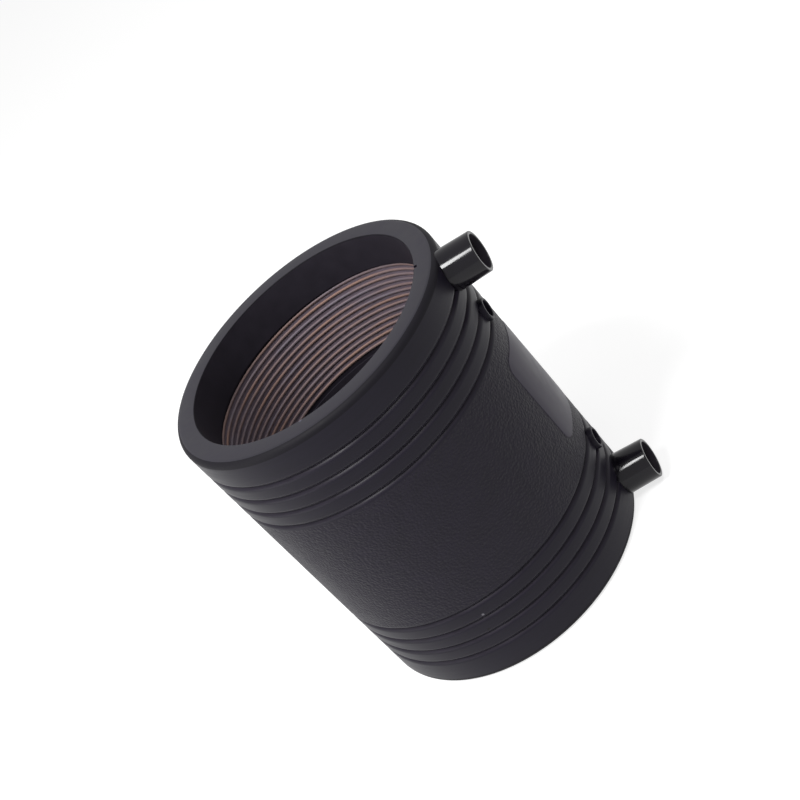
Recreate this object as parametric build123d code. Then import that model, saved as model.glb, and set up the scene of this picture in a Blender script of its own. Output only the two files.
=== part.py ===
from build123d import *
from math import asin, cos, degrees, pi, sin
import os

# Electrofusion coupler for 110 mm polyethylene pipe, in millimetres.
# Z is the pipe axis, upwards, and the origin is the centre of the lower end face.
# Both terminals and both fusion indicators point along +X. The two ends mirror each other.

# Pipe socket and moulded wall
pipe_diameter = 110.0
pipe_clearance = 0.3
wall = 10.2
length = 150.0
outer_edge_radius = 3.0
inner_edge_chamfer = 0.4

# Ring grooves near each end
groove_count = 4
first_groove = 15.0
groove_pitch = 8.2
groove_width = 2.5
groove_root_width = 0.3
groove_depth = 1.2
groove_shoulder_radius = 2.0

# Smooth raised pad between the grooves
pad_width = 36.0
pad_margin = 11.9
pad_thickness = 0.2
pad_corner_radius = 5.0

# Terminal shrouds, moulded with the wall
shroud_edge_margin = 1.05
shroud_height = 14.4
shroud_mouth_radius = 9.1
shroud_base_radius = 9.45
shroud_wall = 1.5
shroud_floor = 1.5
shroud_lip_radius = 0.35

# Terminal pins, held in the wall by a collar
pin_diameter = 4.7
pin_tip_inset = 4.0
pin_tip_chamfer = 0.5
pin_root_diameter = 5.6
pin_collar_diameter = 8.0
pin_collar_length = 2.5
pin_cover = 1.5
pin_clearance = 0.02

# Fusion indicators, moulded with the wall
indicator_inset = 34.3
indicator_boss_radius = 5.0
indicator_boss_height = 1.9
indicator_lip_radius = 0.5
indicator_well_radius = 3.6
indicator_well_floor = 4.0
indicator_stud_radius = 1.7
indicator_stud_inset = 1.5

# Heating wire: one length, wound in a shallow seat in each half of the bore
wire_diameter = 1.4
wire_side_count = 4
wire_pitch = 2.925
wire_clearance = 0.15
wire_bend_radius = 2.0
lead_bend_radius = 1.2
winding_inset = 18.1
cold_zone = 37.5

# Worked out from the sizes above
bore_radius = pipe_diameter / 2 + pipe_clearance
body_radius = bore_radius + wall
seat_depth = wire_diameter + 2 * wire_clearance
seat_radius = bore_radius + seat_depth
wire_path_radius = bore_radius + seat_depth / 2
wire_turns = int((length / 2 - winding_inset - cold_zone / 2) / wire_pitch)
winding_end = winding_inset + wire_turns * wire_pitch
channel_width = wire_diameter + 2 * wire_clearance
last_groove = first_groove + (groove_count - 1) * groove_pitch
pad_height = length - 2 * (last_groove + pad_margin)
terminal_inset = shroud_edge_margin + shroud_base_radius
shroud_root = wall / 2
shroud_bore_radius = shroud_mouth_radius - shroud_wall
pin_inner_end = seat_radius + pin_cover
pin_outer_end = body_radius + shroud_height - pin_tip_inset

FROM_BASE = (Align.CENTER, Align.CENTER, Align.MIN)
SAME_PLACE = 1e-6


def pointing_out(shape, radius, height):
    """Lay a shape drawn upwards from the origin along +X, starting at this radius and height."""
    return Pos(radius, 0, height) * Rot(0, 90, 0) * shape


def at_both_ends(shape):
    """The shape at the lower end, and its mirror image at the upper end."""
    return [shape, mirror(shape, about=Plane.XY.offset(length / 2))]


def groove_heights():
    lower = [first_groove + i * groove_pitch for i in range(groove_count)]
    return lower + [length - height for height in lower]


def groove_outline(height):
    """One V groove with a narrow flat root, open past the outside of the wall."""
    half_width = groove_width / 2
    half_root = groove_root_width / 2
    root = body_radius - groove_depth
    return make_face(
        Polyline(
            (body_radius, height - half_width),
            (root, height - half_root),
            (root, height + half_root),
            (body_radius, height + half_width),
            close=True,
        )
    )


def wall_section():
    """Half section of the wall: edges broken, grooves cut outside, winding seats inside."""
    section = Pos(bore_radius + wall / 2, length / 2) * Rectangle(wall, length)
    outer_corners = section.vertices().sort_by(Axis.X)[-2:]
    section = fillet(outer_corners, min(outer_edge_radius, wall / 3))
    inner_corners = section.vertices().sort_by(Axis.X)[:2]
    section = chamfer(inner_corners, min(inner_edge_chamfer, wall / 4))
    for height in groove_heights():
        section -= groove_outline(height)
        shoulders = [
            corner
            for corner in section.vertices()
            if abs(corner.X - body_radius) < SAME_PLACE
            and abs(abs(corner.Y - height) - groove_width / 2) < SAME_PLACE
        ]
        section = fillet(shoulders, groove_shoulder_radius)
    seat_start = winding_inset - channel_width / 2
    seat_length = winding_end - winding_inset + channel_width
    for middle in (seat_start + seat_length / 2, length - seat_start - seat_length / 2):
        section -= Pos(bore_radius + seat_depth / 2, middle) * Rectangle(seat_depth, seat_length)
    return section


def label_pad():
    """Low smooth pad with rounded corners, following the outside of the wall."""
    skin = Pos(0, 0, length / 2) * Cylinder(body_radius + pad_thickness, pad_height)
    corner = min(pad_corner_radius, pad_width / 3, pad_height / 3)
    outline = RectangleRounded(pad_height, pad_width, corner)
    root = bore_radius + wall / 2
    return skin & pointing_out(extrude(outline, wall), root, length / 2)


def shroud():
    """Tapered tube round a terminal, solid where it joins the wall."""
    taper = (shroud_base_radius - shroud_mouth_radius) / shroud_height
    root_radius = shroud_base_radius + taper * shroud_root
    tube = Cone(root_radius, shroud_mouth_radius, shroud_root + shroud_height, align=FROM_BASE)
    tube = fillet(tube.edges().sort_by(Axis.Z)[-1], min(shroud_lip_radius, shroud_wall / 3))
    return pointing_out(tube, body_radius - shroud_root, terminal_inset)


def shroud_bore():
    depth = shroud_height - shroud_floor
    bore = Cylinder(shroud_bore_radius, depth, align=FROM_BASE)
    return pointing_out(bore, body_radius + shroud_floor, terminal_inset)


def pin_root(clearance):
    """The pin's collar and root in the wall, or with a clearance the hole that they fill."""
    floor = body_radius + shroud_floor
    collar = Cylinder(pin_collar_diameter / 2 + clearance, pin_collar_length, align=FROM_BASE)
    root = Cylinder(pin_root_diameter / 2 + clearance, floor - pin_inner_end, align=FROM_BASE)
    return pointing_out(collar + root, pin_inner_end, terminal_inset)


def terminal_pin():
    """Turned pin: its thinner free end stands in the shroud, just short of the mouth."""
    floor = body_radius + shroud_floor
    free_end = Cylinder(pin_diameter / 2, pin_outer_end - floor, align=FROM_BASE)
    free_end = chamfer(free_end.edges().sort_by(Axis.Z)[-1], pin_tip_chamfer)
    return pin_root(0) + pointing_out(free_end, floor, terminal_inset)


def indicator_boss():
    """Boss over the winding, with a well in it and a stud standing in the well."""
    root = bore_radius + indicator_well_floor
    top = body_radius + indicator_boss_height
    boss = Cylinder(indicator_boss_radius, top - root, align=FROM_BASE)
    boss = fillet(boss.edges().sort_by(Axis.Z)[-1], indicator_lip_radius)
    return pointing_out(boss, root, indicator_inset)


def indicator_well():
    floor = bore_radius + indicator_well_floor
    top = body_radius + indicator_boss_height
    well = Cylinder(indicator_well_radius, top - floor, align=FROM_BASE)
    well -= Cylinder(indicator_stud_radius, top - floor - indicator_stud_inset, align=FROM_BASE)
    return pointing_out(well, floor, indicator_inset)


def wire_slot(offset, start, end):
    """Slot along the bore for a straight stretch of wire, this far round from the terminals."""
    slot = Box(2 * seat_depth, channel_width, end - start, align=FROM_BASE)
    return Pos(bore_radius, offset, start) * slot


def bend_pocket(offset, start):
    """Room between a slot and the winding seat, where the wire turns from one to the other."""
    reach = wire_bend_radius + channel_width
    pocket = Box(2 * seat_depth, reach, wire_bend_radius + channel_width / 2, align=FROM_BASE)
    return Pos(bore_radius, offset / 2, start) * pocket


def lead_channel():
    """Slot from the end face to the winding seat, and the hole from it out to the pin."""
    offset = -wire_bend_radius
    channel = wire_slot(offset, 0, winding_inset)
    channel += bend_pocket(offset, winding_inset - wire_bend_radius - channel_width / 2)
    hole = Cylinder(channel_width / 2, pin_inner_end - wire_path_radius, align=FROM_BASE)
    return channel + Pos(0, offset, 0) * pointing_out(hole, wire_path_radius, terminal_inset)


def crossover_channel():
    """Slot from a winding seat to the middle of the cold zone."""
    offset = wire_bend_radius
    return wire_slot(offset, winding_end, length / 2) + bend_pocket(offset, winding_end)


def coupler_body():
    body = revolve(Plane.XZ * wall_section(), Axis.Z, 360)
    body += label_pad()
    for lower in (shroud(), indicator_boss()):
        body += at_both_ends(lower)
    for lower in (shroud_bore(), pin_root(pin_clearance), indicator_well()):
        body -= at_both_ends(lower)
    for lower in (lead_channel(), crossover_channel()):
        body -= at_both_ends(lower)
    return body


def coil_bend(point, direction, slope):
    """Arc that leaves an end of the coil and turns the wire along Z."""
    flat = Plane(origin=point, x_dir=(0, 1, 0), z_dir=(1, 0, 0))
    start = (direction * cos(slope), direction * sin(slope))
    return flat * JernArc((0, 0), start, wire_bend_radius, degrees(pi / 2 - slope))


def half_wire_path():
    """Centre line from the lower pin, round the lower winding, to the middle of the crossover."""
    coil = Helix(wire_pitch, winding_end - winding_inset, wire_path_radius, (0, 0, winding_inset))
    slope = asin((coil % 0).Z)
    lead_in = coil_bend(coil @ 0, -1, slope)
    lead_out = coil_bend(coil @ 1, 1, slope)
    slot_start = lead_in @ 1
    lead = FilletPolyline(
        (pin_inner_end, slot_start.Y, terminal_inset),
        (wire_path_radius, slot_start.Y, terminal_inset),
        slot_start,
        radius=lead_bend_radius,
    )
    crossover_start = lead_out @ 1
    crossover = Line(crossover_start, (wire_path_radius, crossover_start.Y, length / 2))
    return Wire([*lead.edges(), lead_in, coil, lead_out, crossover])


def heating_wire():
    """One flat-sided wire: pin, winding, crossover, the other winding and the other pin."""
    lower, upper = at_both_ends(half_wire_path())
    path = Wire([*lower.edges(), *upper.edges()])
    section = Plane(path @ 0, z_dir=path % 0) * RegularPolygon(wire_diameter / 2, wire_side_count)
    return sweep(section, path=path)


os.makedirs("parts", exist_ok=True)
export_step(coupler_body(), "parts/coupler_body.step")
export_step(heating_wire(), "parts/heating_wire.step")
for name, pin in zip(("terminal_pin_lower", "terminal_pin_upper"), at_both_ends(terminal_pin())):
    export_step(pin, f"parts/{name}.step")
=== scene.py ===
from math import cos, hypot, pi, radians, sin, sqrt, tan

import bmesh
import bpy
from mathutils import Euler, Matrix, Vector


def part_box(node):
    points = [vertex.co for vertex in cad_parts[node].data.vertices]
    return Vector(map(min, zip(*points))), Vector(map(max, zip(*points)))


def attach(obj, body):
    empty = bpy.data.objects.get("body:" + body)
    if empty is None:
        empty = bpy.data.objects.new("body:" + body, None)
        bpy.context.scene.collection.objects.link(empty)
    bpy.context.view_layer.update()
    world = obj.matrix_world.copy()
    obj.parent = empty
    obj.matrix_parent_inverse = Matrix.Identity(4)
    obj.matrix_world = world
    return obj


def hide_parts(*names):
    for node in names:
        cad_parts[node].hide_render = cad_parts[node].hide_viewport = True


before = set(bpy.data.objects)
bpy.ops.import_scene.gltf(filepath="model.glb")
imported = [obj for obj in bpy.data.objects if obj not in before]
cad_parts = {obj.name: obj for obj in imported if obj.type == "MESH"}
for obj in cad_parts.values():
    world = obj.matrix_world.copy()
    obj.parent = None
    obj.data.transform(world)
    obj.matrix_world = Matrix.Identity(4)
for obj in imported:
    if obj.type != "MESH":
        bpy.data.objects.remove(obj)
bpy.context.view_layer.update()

# ---- Room ----
# A pale sweep of floor under a bright soft room, with the coupler standing on its end in the
# middle. The camera looks down into the upper socket, rolled so that the pipe axis leans over.

scene = bpy.context.scene
scene.view_settings.view_transform = "Standard"
body_low, body_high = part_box("coupler_body")
length = body_high.z - body_low.z
body_radius = -body_low.x


def linear(hex_colour):
    """An sRGB hex colour as linear RGBA."""
    channels = [int(hex_colour[i:i + 2], 16) / 255 for i in (1, 3, 5)]
    return [c / 12.92 if c <= 0.04045 else ((c + 0.055) / 1.055) ** 2.4 for c in channels] + [1.0]


def add_node(tree, kind, links=(), **settings):
    """Adds a node. Settings name its properties or its sockets; links feed its inputs."""
    node = tree.nodes.new(kind)
    for name, value in settings.items():
        if hasattr(node, name):
            setattr(node, name, value)
        else:
            node.inputs[name.replace("_", " ")].default_value = value
    for socket, source in dict(links).items():
        tree.links.new(source, node.inputs[socket])
    return node


def seen_directly(tree):
    """1 where the camera or a mirror-like surface looks straight at it, else 0."""
    path = add_node(tree, "ShaderNodeLightPath")
    seen = path.outputs["Is Camera Ray"]
    for ray in ("Is Glossy Ray", "Is Transmission Ray"):
        either = add_node(tree, "ShaderNodeMath", {0: seen, 1: path.outputs[ray]}, operation="MAXIMUM")
        seen = either.outputs[0]
    return seen


room_light = 0.35
world = bpy.data.worlds.new("soft_room")
scene.world = world
world.use_nodes = True
world.node_tree.nodes.clear()
lit = add_node(world.node_tree, "ShaderNodeBackground", Color=linear("#FFFFFF"), Strength=room_light)
seen = add_node(world.node_tree, "ShaderNodeBackground", Color=linear("#FFFFFF"), Strength=1.0)
both = add_node(world.node_tree, "ShaderNodeMixShader",
                {0: seen_directly(world.node_tree), 1: lit.outputs[0], 2: seen.outputs[0]})
add_node(world.node_tree, "ShaderNodeOutputWorld", {"Surface": both.outputs[0]})

floor_size = 6.0
floor_mesh = bmesh.new()
bmesh.ops.create_grid(floor_mesh, x_segments=1, y_segments=1, size=floor_size / 2)
floor = bpy.data.objects.new("floor", bpy.data.meshes.new("floor"))
floor_mesh.to_mesh(floor.data)
floor_mesh.free()
scene.collection.objects.link(floor)
floor_paint = bpy.data.materials.new("white_matt_floor_paint")
floor_paint.use_nodes = True
floor_tree = floor_paint.node_tree
floor_tree.nodes.clear()
matt = add_node(floor_tree, "ShaderNodeBsdfDiffuse", Color=linear("#F2F2F2"))
shaded = add_node(floor_tree, "ShaderNodeBsdfDiffuse", Color=linear("#A8A8A8"))
glow = add_node(floor_tree, "ShaderNodeEmission", Color=linear("#FFFFFF"), Strength=0.75)
white = add_node(floor_tree, "ShaderNodeAddShader", {0: shaded.outputs[0], 1: glow.outputs[0]})
floor_mix = add_node(floor_tree, "ShaderNodeMixShader",
                     {0: seen_directly(floor_tree), 1: matt.outputs[0], 2: white.outputs[0]})
add_node(floor_tree, "ShaderNodeOutputMaterial", {"Surface": floor_mix.outputs[0]})
floor.data.materials.append(floor_paint)


def soft_lamp(name, azimuth, elevation, distance, width, height, power):
    """A soft box aimed at the middle of the coupler."""
    data = bpy.data.lights.new(name, "AREA")
    data.shape = "RECTANGLE"
    data.size = width
    data.size_y = height
    data.energy = power
    lamp = bpy.data.objects.new(name, data)
    centre = Vector((0, 0, length / 2))
    lamp.location = centre + direction(azimuth, elevation) * distance
    lamp.rotation_euler = (centre - lamp.location).to_track_quat("-Z", "Y").to_euler()
    scene.collection.objects.link(lamp)
    return lamp


def direction(azimuth, elevation):
    """Unit vector for an azimuth from +X and an elevation, both in degrees."""
    level = cos(radians(elevation))
    turn = radians(azimuth)
    return Vector((level * cos(turn), level * sin(turn), sin(radians(elevation))))


soft_lamp("lamp_key", -118, 60, 1.2, 0.34, 0.3, 14)
soft_lamp("lamp_fill", -47, 65, 1.2, 0.3, 0.3, 4)
soft_lamp("lamp_left", -150, 8, 1.3, 1.0, 1.0, 8)

camera_azimuth = -66.65
camera_elevation = 31.6
camera_distance = 0.7059
camera_roll = -43.28
camera_pan = 0.353
camera_tilt = 1.811
camera_lens = 75.3
camera_data = bpy.data.cameras.new("camera")
camera_data.lens = camera_lens
camera_data.sensor_width = 36.0
camera_data.clip_start = 0.01
camera = bpy.data.objects.new("camera", camera_data)
outward = direction(camera_azimuth, camera_elevation)
aim = outward.to_track_quat("Z", "Y").to_matrix()
offset = Euler((radians(camera_tilt), radians(camera_pan), radians(camera_roll)), "XYZ").to_matrix()
camera.matrix_world = Matrix.Translation(Vector((0, 0, length / 2)) + outward * camera_distance)
camera.matrix_world @= (aim @ offset).to_4x4()
scene.collection.objects.link(camera)
scene.camera = camera

# ---- Coupler body ----
# One injection moulding in black PE100 polyethylene: sleeve, label pad, terminal shrouds and
# indicator bosses. The ends are smooth with ring grooves, and the middle has a spark-eroded grain.

mm = 0.001
bore_radius = 55.3 * mm
edge_radius = 3.0 * mm
inner_edge = 0.5 * mm
first_groove = 15.0 * mm
groove_pitch = 8.2 * mm
groove_count = 4
groove_width = 2.5 * mm
groove_root = 0.3 * mm
groove_depth = 1.2 * mm
shoulder_radius = 2.0 * mm
seat_depth = 1.7 * mm
seat_floor = 0.75 * mm
winding_inset = 18.1 * mm
wire_pitch = 2.925 * mm
wire_turns = 13
wire_radius = 0.7 * mm
winding_end = winding_inset + wire_turns * wire_pitch
slot_width = 1.7 * mm
sleeve_steps = 288


def rounded(corners, steps=8):
    """An outline from corners (x, y, radius), with each radius as an arc."""
    points = []
    for i, (x, y, radius) in enumerate(corners):
        here = Vector((x, y))
        if not radius:
            points.append(here)
            continue
        before = (Vector(corners[i - 1][:2]) - here).normalized()
        after = (Vector(corners[(i + 1) % len(corners)][:2]) - here).normalized()
        half_angle = before.angle(after) / 2
        centre = here + (before + after).normalized() * radius / sin(half_angle)
        start = here + before * radius / tan(half_angle) - centre
        end = here + after * radius / tan(half_angle) - centre
        turn = start.angle_signed(end)
        points += [centre + Matrix.Rotation(-turn * k / steps, 2) @ start for k in range(steps + 1)]
    return points


def revolve(outline, steps, closed=True):
    """Spins an outline of (radius, height) round Z. An open outline starts and ends on the axis."""
    bm = bmesh.new()
    verts = [bm.verts.new((p[0], 0, p[1])) for p in outline]
    edges = [bm.edges.new(pair) for pair in zip(verts, verts[1:])]
    if closed:
        edges.append(bm.edges.new((verts[-1], verts[0])))
    bmesh.ops.spin(bm, geom=verts + edges, axis=(0, 0, 1), cent=(0, 0, 0), angle=2 * pi,
                   steps=steps, use_merge=True)
    bmesh.ops.remove_doubles(bm, verts=bm.verts, dist=1e-7)
    bmesh.ops.recalc_face_normals(bm, faces=bm.faces)
    return bm


def piece(name, bm, sharp_angle=35):
    """Makes an object of a bmesh, smooth apart from its sharp edges."""
    obj = bpy.data.objects.new(name, bpy.data.meshes.new(name))
    bm.to_mesh(obj.data)
    bm.free()
    obj.data.shade_smooth()
    obj.data.set_sharp_from_angle(angle=radians(sharp_angle))
    scene.collection.objects.link(obj)
    return obj


def mirrored(bm):
    """Adds the mirror image at the coupler's other end."""
    twin = bmesh.ops.duplicate(bm, geom=bm.verts[:] + bm.edges[:] + bm.faces[:])["geom"]
    verts = [v for v in twin if isinstance(v, bmesh.types.BMVert)]
    bmesh.ops.scale(bm, vec=(1, 1, -1), verts=verts)
    bmesh.ops.translate(bm, vec=(0, 0, length), verts=verts)
    bmesh.ops.reverse_faces(bm, faces=[f for f in twin if isinstance(f, bmesh.types.BMFace)])
    return bm


def combined(base, tool, operation):
    """Joins a tool to a base, or cuts it out, and deletes the tool."""
    step = base.modifiers.new("combine", "BOOLEAN")
    step.operation = operation
    step.solver = "EXACT"
    step.object = tool
    result = bpy.data.meshes.new_from_object(base.evaluated_get(bpy.context.evaluated_depsgraph_get()))
    base.modifiers.clear()
    base.data = result
    bpy.data.objects.remove(tool)
    return base


SATIN, GRAINED, GLOSSY, BORE, SEAT, FACED, PAD, EDGE, FLANK = range(9)

groove_half = [(body_radius, -groove_width / 2, shoulder_radius),
               (body_radius - groove_depth, -groove_root / 2, 0),
               (body_radius - groove_depth, groove_root / 2, 0),
               (body_radius, groove_width / 2, shoulder_radius)]
lower_heights = [first_groove + i * groove_pitch for i in range(groove_count)]
groove_heights = lower_heights + [length - h for h in reversed(lower_heights)]
seat_margin = slot_width / 2
lower_seat = (winding_inset - seat_margin, winding_end + seat_margin)
sleeve_outline = [(bore_radius, 0, inner_edge), (body_radius, 0, edge_radius)]
for height in groove_heights:
    sleeve_outline += [(r, height + z, rad) for r, z, rad in groove_half]
sleeve_outline += [(body_radius, length, edge_radius), (bore_radius, length, inner_edge)]
# Between the turns, the seat's floor is paler than the rest of the bore.
lower_paler_floor = (winding_inset + 0.3 * wire_pitch, winding_end - 0.7 * wire_pitch)
upper_seat, upper_paler_floor = ((length - span[1], length - span[0]) for span in (lower_seat, lower_paler_floor))
for (low, high), (paler_low, paler_high) in ((upper_seat, upper_paler_floor), (lower_seat, lower_paler_floor)):
    sleeve_outline += [(bore_radius, high, 0), (bore_radius + seat_floor, high, 0),
                       (bore_radius + seat_floor, paler_high, 0), (bore_radius + seat_floor, paler_low, 0),
                       (bore_radius + seat_floor, low, 0), (bore_radius, low, 0)]
grain_start = lower_heights[-1] + groove_width
flank_depth = 0.25 * mm
sleeve_bm = revolve(rounded(sleeve_outline), sleeve_steps)
for face in sleeve_bm.faces:
    middle = face.calc_center_median()
    out = hypot(middle.x, middle.y)
    inside = out < bore_radius + 1.1 * seat_floor
    if inside and any(low < middle.z < high for low, high in (lower_paler_floor, upper_paler_floor)):
        face.material_index = SEAT
    elif inside and inner_edge < middle.z < length - inner_edge:
        face.material_index = BORE
    elif grain_start < middle.z < length - grain_start:
        face.material_index = GRAINED
    elif abs(face.normal.z) > 0.95:
        face.material_index = FACED
    elif not edge_radius < middle.z < length - edge_radius:
        face.material_index = EDGE
    elif out < body_radius - flank_depth:
        face.material_index = FLANK
body = piece("moulded_body", sleeve_bm)

# The shrouds taper a little, so that the mould could be drawn off them.
terminal_inset = 10.5 * mm
shroud_height = 14.4 * mm
shroud_mouth_radius = 9.1 * mm
shroud_base_radius = 9.45 * mm
shroud_bore_radius = 7.6 * mm
shroud_floor = 1.5 * mm
shroud_root = 4.0 * mm
lip_radius = 0.35 * mm
lip_support = 0.6 * mm
lip_flare = 0.02 * mm
floor_radius = 0.3 * mm


def pointing_out(bm, inset, start):
    """Turns what was drawn up Z to point along +X, standing on the wall at this inset."""
    bmesh.ops.rotate(bm, cent=(0, 0, 0), matrix=Matrix.Rotation(pi / 2, 3, "Y"), verts=bm.verts)
    bmesh.ops.translate(bm, vec=(start, 0, inset), verts=bm.verts)
    return bm


shroud_outline = rounded([
    (0, -shroud_root, 0),
    (shroud_base_radius, -shroud_root, 0),
    (shroud_base_radius, 0, 0),
    (shroud_mouth_radius + lip_flare, shroud_height - lip_support, 0),
    (shroud_mouth_radius, shroud_height, lip_radius),
    (shroud_bore_radius, shroud_height, lip_radius),
    (shroud_bore_radius, shroud_floor, floor_radius),
    (0, shroud_floor, 0)])
shroud_bm = revolve(shroud_outline, 96, closed=False)
for face in shroud_bm.faces:
    middle = face.calc_center_median()
    inside = hypot(middle.x, middle.y) < shroud_bore_radius + 0.01 * mm and middle.z > 0
    face.material_index = BORE if inside else GLOSSY
shrouds = mirrored(pointing_out(shroud_bm, terminal_inset, body_radius))
body = combined(body, piece("shrouds", shrouds), "UNION")

# The label pad stands a little proud of the grained middle, with soft edges.
pad_width = 36.0 * mm
pad_height = 47.0 * mm
pad_thickness = 0.2 * mm
pad_corner = 5.0 * mm
pad_edge = 0.18 * mm
pad_sink = 0.6 * mm
pad_strips = 24


def slab(outline, depth):
    """A flat slab in the plane of the wall, from an outline of (y, z), standing out along +X."""
    bm = bmesh.new()
    face = bm.faces.new([bm.verts.new((0, p[0], p[1])) for p in outline])
    grown = bmesh.ops.extrude_face_region(bm, geom=[face])["geom"]
    top = [g for g in grown if isinstance(g, bmesh.types.BMVert)]
    bmesh.ops.translate(bm, vec=(depth, 0, 0), verts=top)
    bmesh.ops.recalc_face_normals(bm, faces=bm.faces)
    return bm


def box_outline(y_low, z_low, y_high, z_high, corner=0.0):
    return rounded([(y_low, z_low, corner), (y_high, z_low, corner),
                    (y_high, z_high, corner), (y_low, z_high, corner)], steps=8)


pad_outline = box_outline(-pad_width / 2, (length - pad_height) / 2,
                          pad_width / 2, (length + pad_height) / 2, pad_corner)
pad_bm = slab(pad_outline, pad_thickness + pad_sink)
top_x = max(v.co.x for v in pad_bm.verts)
top_rim = [e for e in pad_bm.edges if min(v.co.x for v in e.verts) > top_x - 1e-6]
bmesh.ops.bevel(pad_bm, geom=top_rim, offset=pad_edge, segments=4, profile=0.5, affect="EDGES",
                material=-1)
for strip in range(1, pad_strips):
    cut = (0, pad_width * (strip / pad_strips - 0.5), 0)
    bmesh.ops.bisect_plane(pad_bm, geom=pad_bm.verts[:] + pad_bm.edges[:] + pad_bm.faces[:],
                           plane_co=cut, plane_no=(0, 1, 0), dist=1e-7)
for vert in pad_bm.verts:
    vert.co.x += sqrt(body_radius ** 2 - vert.co.y ** 2) - pad_sink
for face in pad_bm.faces:
    face.material_index = PAD
body = combined(body, piece("pad", pad_bm), "UNION")

# Room for the pins, the indicator wells and the wire's slots is cut out of the wall.
pin_inner_end = 58.5 * mm
pin_tip_inset = 4.0 * mm
pin_outer_end = body_radius + shroud_height - pin_tip_inset
pin_root_radius = 2.8 * mm
pin_collar_radius = 4.0 * mm
pin_collar_length = 2.5 * mm
pin_clearance = 0.02 * mm
bend_radius = 2.0 * mm
slot_depth = seat_depth - 0.05 * mm
indicator_inset = 34.3 * mm
boss_radius = 5.0 * mm
boss_height = 1.9 * mm
well_radius = 3.6 * mm
well_depth = 6.2 * mm
stud_radius = 1.7 * mm
stud_top = boss_height - 1.5 * mm
boss_root = -7.2 * mm

collar_radius = pin_collar_radius + pin_clearance
hole_radius = pin_root_radius + pin_clearance
pin_hole = revolve([(0, 0), (collar_radius, 0), (collar_radius, pin_collar_length),
                    (hole_radius, pin_collar_length), (hole_radius, body_radius + 2 * mm - pin_inner_end),
                    (0, body_radius + 2 * mm - pin_inner_end)], 48, closed=False)
body = combined(body, piece("holes", mirrored(pointing_out(pin_hole, terminal_inset, pin_inner_end))),
                "DIFFERENCE")

core_radius = (well_radius + boss_radius) / 2
well_bm = revolve([(0, boss_root + 0.3 * mm), (core_radius, boss_root + 0.3 * mm),
                   (core_radius, boss_height), (0, boss_height)], 48, closed=False)
wells = mirrored(pointing_out(well_bm, indicator_inset, body_radius))
body = combined(body, piece("wells", wells), "DIFFERENCE")

pocket = bend_radius + slot_width / 2
half_slot = slot_width / 2
lead_bm = slab([(-bend_radius - half_slot, -mm), (-bend_radius + half_slot, -mm),
                (-bend_radius + half_slot, winding_inset - pocket), (half_slot, winding_inset - pocket),
                (half_slot, winding_inset), (-bend_radius - half_slot, winding_inset)], 2 * slot_depth)
bmesh.ops.translate(lead_bm, vec=(bore_radius - slot_depth, 0, 0), verts=lead_bm.verts)
body = combined(body, piece("slots", mirrored(lead_bm)), "DIFFERENCE")
far_end = length - winding_end
cross_bm = slab([(-half_slot, winding_end), (bend_radius + half_slot, winding_end),
                 (bend_radius + half_slot, far_end), (-half_slot, far_end), (-half_slot, far_end - pocket),
                 (bend_radius - half_slot, far_end - pocket),
                 (bend_radius - half_slot, winding_end + pocket),
                 (-half_slot, winding_end + pocket)], 2 * slot_depth)
bmesh.ops.translate(cross_bm, vec=(bore_radius - slot_depth, 0, 0), verts=cross_bm.verts)
body = combined(body, piece("slot", cross_bm), "DIFFERENCE")

# Each indicator is a boss with a well in it, and a stud that the melt lifts.
boss_outline = rounded([
    (0, boss_root, 0),
    (boss_radius, boss_root, 0),
    (boss_radius, boss_height, 0.5 * mm),
    (well_radius, boss_height, 0.4 * mm),
    (well_radius, -well_depth, 0.3 * mm),
    (stud_radius, -well_depth, 0),
    (stud_radius, stud_top, 0.4 * mm),
    (0, stud_top, 0)])
boss_bm = revolve(boss_outline, 64, closed=False)
bosses = mirrored(pointing_out(boss_bm, indicator_inset, body_radius))
body = combined(body, piece("bosses", bosses), "UNION")

body.data.shade_smooth()
body.data.set_sharp_from_angle(angle=radians(35))
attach(body, "root")
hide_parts("coupler_body")


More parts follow.
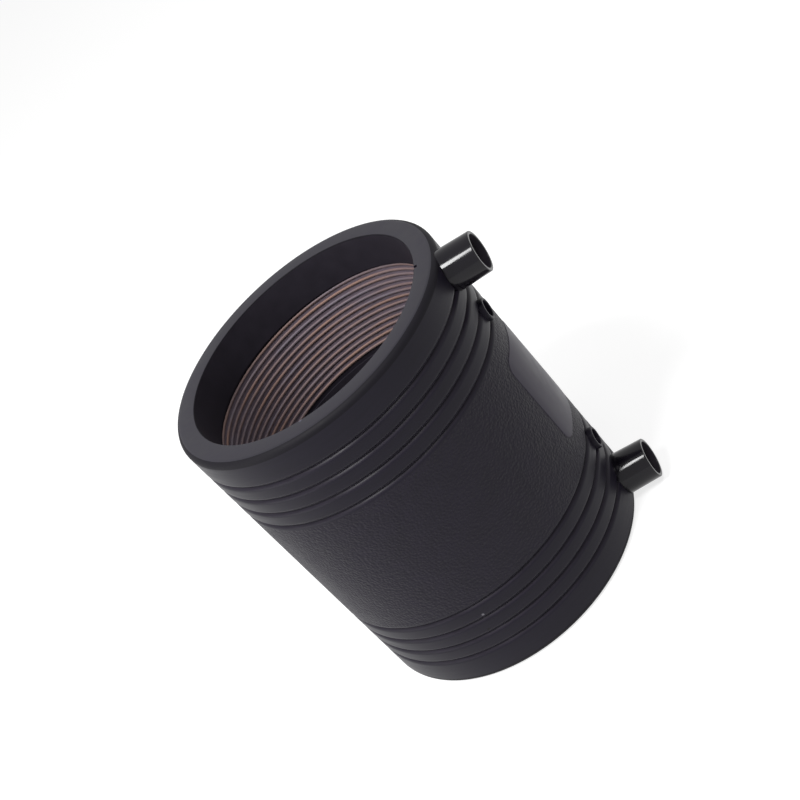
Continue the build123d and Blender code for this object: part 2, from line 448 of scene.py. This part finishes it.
def black_polyethylene(name, colour, roughness, specular, cell, relief, patch=7 * mm, streak=1.0,
                       marks=()):
    """Carbon black PE100, with the mould's texture as a bump of this cell size and relief.

    Its tone drifts in patches, drawn out round the sleeve by the streak. Each mark is a small scuff,
    given as a place and a colour."""
    material = bpy.data.materials.new(name)
    material.use_nodes = True
    tree = material.node_tree
    shader = tree.nodes["Principled BSDF"]
    shader.inputs["Specular IOR Level"].default_value = specular
    coords = add_node(tree, "ShaderNodeTexCoord").outputs["Object"]
    drawn_out = add_node(tree, "ShaderNodeMapping", {"Vector": coords}, Scale=(1.0, 1.0, streak))
    mottle = add_node(tree, "ShaderNodeTexNoise", {"Vector": drawn_out.outputs[0]}, Scale=1 / patch,
                      Detail=6.0)
    value = add_node(tree, "ShaderNodeMapRange", {"Value": mottle.outputs[0]},
                     From_Min=0.3, From_Max=0.7, To_Min=0.88, To_Max=1.12)
    tint = add_node(tree, "ShaderNodeHueSaturation", {"Value": value.outputs[0]}, Color=linear(colour))
    gloss = add_node(tree, "ShaderNodeMapRange", {"Value": mottle.outputs[0]},
                     From_Min=0.3, From_Max=0.7, To_Min=roughness - 0.04, To_Max=roughness + 0.04)
    tone = tint.outputs[0]
    for place, scuff_colour in marks:
        gap = add_node(tree, "ShaderNodeVectorMath", {0: coords}, operation="DISTANCE")
        gap.inputs[1].default_value = place
        near = add_node(tree, "ShaderNodeMapRange", {"Value": gap.outputs["Value"]},
                        From_Min=0.3 * mm, From_Max=0.8 * mm, To_Min=1.0, To_Max=0.0)
        scuffed = add_node(tree, "ShaderNodeMix", {"Factor": near.outputs[0], 6: tone},
                           data_type="RGBA")
        scuffed.inputs[7].default_value = linear(scuff_colour)
        tone = scuffed.outputs[2]
    tree.links.new(tone, shader.inputs["Base Color"])
    tree.links.new(gloss.outputs[0], shader.inputs["Roughness"])
    if relief:
        cells = add_node(tree, "ShaderNodeTexVoronoi", {"Vector": coords}, Scale=1 / cell,
                         feature="SMOOTH_F1")
        bump = add_node(tree, "ShaderNodeBump", {"Height": cells.outputs["Distance"]}, invert=True,
                        Distance=relief, Strength=1.0)
        tree.links.new(bump.outputs[0], shader.inputs["Normal"])
    return material


# Ends: a satin mould, with faint streaks round the sleeve. Middle: a spark-eroded mould. Shrouds: a
# polished mould. Bore: a matt core. The other finishes are chosen, with likely processes: a paler seat
# under the winding, trimmed end faces, a smooth pad painted paler as its sheen, dull edges painted
# darker as their shade, and groove flanks painted paler against the grooves' shade.
pale_speck = ((2.9 * mm, -65.4 * mm, 33.6 * mm), "#5A585E")
dark_nick = ((0.3 * mm, -65.4 * mm, 25.6 * mm), "#040305")
rim_speck = ((0.6 * mm, -55.9 * mm, 150 * mm), "#4A4956")
for material in (black_polyethylene("moulded_PE100_satin", "#13101A", 0.42, 0.15, 0.5 * mm, 0.002 * mm,
                                    18 * mm, 16.0, (pale_speck, dark_nick)),
                 black_polyethylene("moulded_PE100_spark_grain", "#19161F", 0.5, 0.14, 1.0 * mm, 0.4 * mm),
                 black_polyethylene("moulded_PE100_polished", "#0D0B11", 0.13, 0.23, mm, 0),
                 black_polyethylene("moulded_PE100_matt", "#232027", 0.62, 0.12, 0.5 * mm, 0.002 * mm),
                 black_polyethylene("moulded_PE100_wound_seat", "#6A5F69", 0.6, 0.3, 0.5 * mm, 0.01 * mm),
                 black_polyethylene("trimmed_PE100", "#1E1C24", 0.5, 0.25, 0.5 * mm, 0.01 * mm,
                                    marks=[rim_speck]),
                 # The pad's colour is paler than the sleeve's: painted sheen.
                 black_polyethylene("moulded_PE100_pad_painted_sheen", "#312D38", 0.38, 0.12, mm, 0),
                 # The rounded edges are dull and darker than the sleeve: the darker colour is painted
                 # shade.
                 black_polyethylene("dull_PE100_edge_painted_shade", "#0F0D13", 0.6, 0.12, mm, 0),
                 # The groove flanks are paler than the sleeve: painted light against the grooves' shade.
                 black_polyethylene("PE100_groove_flank_painted_light", "#221F27", 0.32, 0.07, mm, 0)):
    body.data.materials.append(material)

# ---- Heating wire ----
# One length of copper alloy resistance wire under a thin brown lacquer. It lies in the seats of
# the bore, proud of the seat's floor, so that each turn shows as a rounded rib.

wire_path_radius = bore_radius + seat_depth / 2
wire_sides = 12
turn_steps = 120
lead_bend = 1.2 * mm

wire_bm = bmesh.new()
ring = bmesh.ops.create_circle(wire_bm, segments=wire_sides, radius=wire_radius)["verts"]
bmesh.ops.rotate(wire_bm, cent=(0, 0, 0), matrix=Matrix.Rotation(pi / 2, 3, "X"), verts=ring)
bmesh.ops.translate(wire_bm, vec=(wire_path_radius, 0, winding_inset), verts=ring)


def ring_geometry(verts):
    chosen = set(verts)
    return verts + [e for e in wire_bm.edges if set(e.verts) <= chosen]


def turned(verts, centre, axis, angle, steps, rise=0.0):
    """Carries the open end of the wire round a centre, and returns the new end."""
    result = bmesh.ops.spin(wire_bm, geom=ring_geometry(verts), cent=centre, axis=axis, angle=angle,
                            steps=steps, dvec=(0, 0, rise / steps))
    return [g for g in result["geom_last"] if isinstance(g, bmesh.types.BMVert)]


def drawn(verts, vector):
    """Carries the open end of the wire straight on, and returns the new end."""
    result = bmesh.ops.extrude_edge_only(wire_bm, edges=ring_geometry(verts)[len(verts):])
    end = [g for g in result["geom"] if isinstance(g, bmesh.types.BMVert)]
    bmesh.ops.translate(wire_bm, vec=vector, verts=end)
    return end


coil_end = turned(ring, (0, 0, 0), (0, 0, 1), 2 * pi * wire_turns, turn_steps * wire_turns,
                  wire_turns * wire_pitch)
coil_end = turned(coil_end, (wire_path_radius, 0, winding_end + bend_radius), (1, 0, 0), pi / 2, 6)
coil_end = drawn(coil_end, (0, 0, length / 2 - winding_end - bend_radius))
lead_end = turned(ring, (wire_path_radius, 0, winding_inset - bend_radius), (1, 0, 0), pi / 2, 6)
lead_end = drawn(lead_end, (0, 0, terminal_inset + lead_bend - winding_inset + bend_radius))
lead_end = turned(lead_end, (wire_path_radius + lead_bend, 0, terminal_inset + lead_bend), (0, 1, 0),
                  -pi / 2, 6)
lead_end = drawn(lead_end, (pin_inner_end - wire_path_radius - lead_bend, 0, 0))
wire_bm.faces.new(lead_end)
mirrored(wire_bm)
bmesh.ops.remove_doubles(wire_bm, verts=wire_bm.verts, dist=1e-6)
bmesh.ops.recalc_face_normals(wire_bm, faces=wire_bm.faces)
wire = piece("winding_wire", wire_bm, 60)
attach(wire, "root")
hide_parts("heating_wire")

# Drawn copper alloy under a clear lacquer that has browned. The tint drifts from turn to turn.
lacquer = bpy.data.materials.new("lacquered_copper_alloy_wire")
lacquer.use_nodes = True
wire_tree = lacquer.node_tree
wire_shader = wire_tree.nodes["Principled BSDF"]
wire_coords = add_node(wire_tree, "ShaderNodeTexCoord").outputs["Object"]
by_turn = add_node(wire_tree, "ShaderNodeMapping", {"Vector": wire_coords}, Scale=(1.0, 1.0, 12.0))
drift = add_node(wire_tree, "ShaderNodeTexNoise", {"Vector": by_turn.outputs[0]}, Scale=1 / (35 * mm),
                 Detail=2.0)
shade = add_node(wire_tree, "ShaderNodeValToRGB", {"Fac": drift.outputs[0]})
shade.color_ramp.elements[0].position = 0.35
shade.color_ramp.elements[0].color = linear("#675F67")
shade.color_ramp.elements[1].position = 0.65
shade.color_ramp.elements[1].color = linear("#7D645B")
wire_tree.links.new(shade.outputs[0], wire_shader.inputs["Base Color"])
wire_shader.inputs["Metallic"].default_value = 0.15
wire_shader.inputs["Specular IOR Level"].default_value = 0.15
wire_shader.inputs["Roughness"].default_value = 0.55
wire.data.materials.append(lacquer)

# ---- Terminal pins ----
# Two brass pins, turned from bar. A collar and a thicker root hold each one in the wall, and the
# thinner end stands in its shroud, short of the mouth, where the welding lead is pushed on.

pin_radius = 2.35 * mm
pin_outline = rounded([
    (0, 0, 0),
    (pin_collar_radius, 0, 0.2 * mm),
    (pin_collar_radius, pin_collar_length, 0.2 * mm),
    (pin_root_radius, pin_collar_length, 0),
    (pin_root_radius, body_radius + shroud_floor - pin_inner_end, 0.1 * mm),
    (pin_radius, body_radius + shroud_floor - pin_inner_end, 0),
    (pin_radius, pin_outer_end - pin_inner_end, 0.5 * mm),
    (0, pin_outer_end - pin_inner_end, 0)])
brass = bpy.data.materials.new("turned_brass")
brass.use_nodes = True
bsdf = brass.node_tree.nodes["Principled BSDF"]
bsdf.inputs["Base Color"].default_value = linear("#B9975A")
bsdf.inputs["Metallic"].default_value = 1.0
bsdf.inputs["Roughness"].default_value = 0.35
for end, inset in (("lower", terminal_inset), ("upper", length - terminal_inset)):
    pin_bm = pointing_out(revolve(pin_outline, 48, closed=False), inset, pin_inner_end)
    pin = piece("turned_pin_" + end, pin_bm)
    pin.data.materials.append(brass)
    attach(pin, "root")
    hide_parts("terminal_pin_" + end)
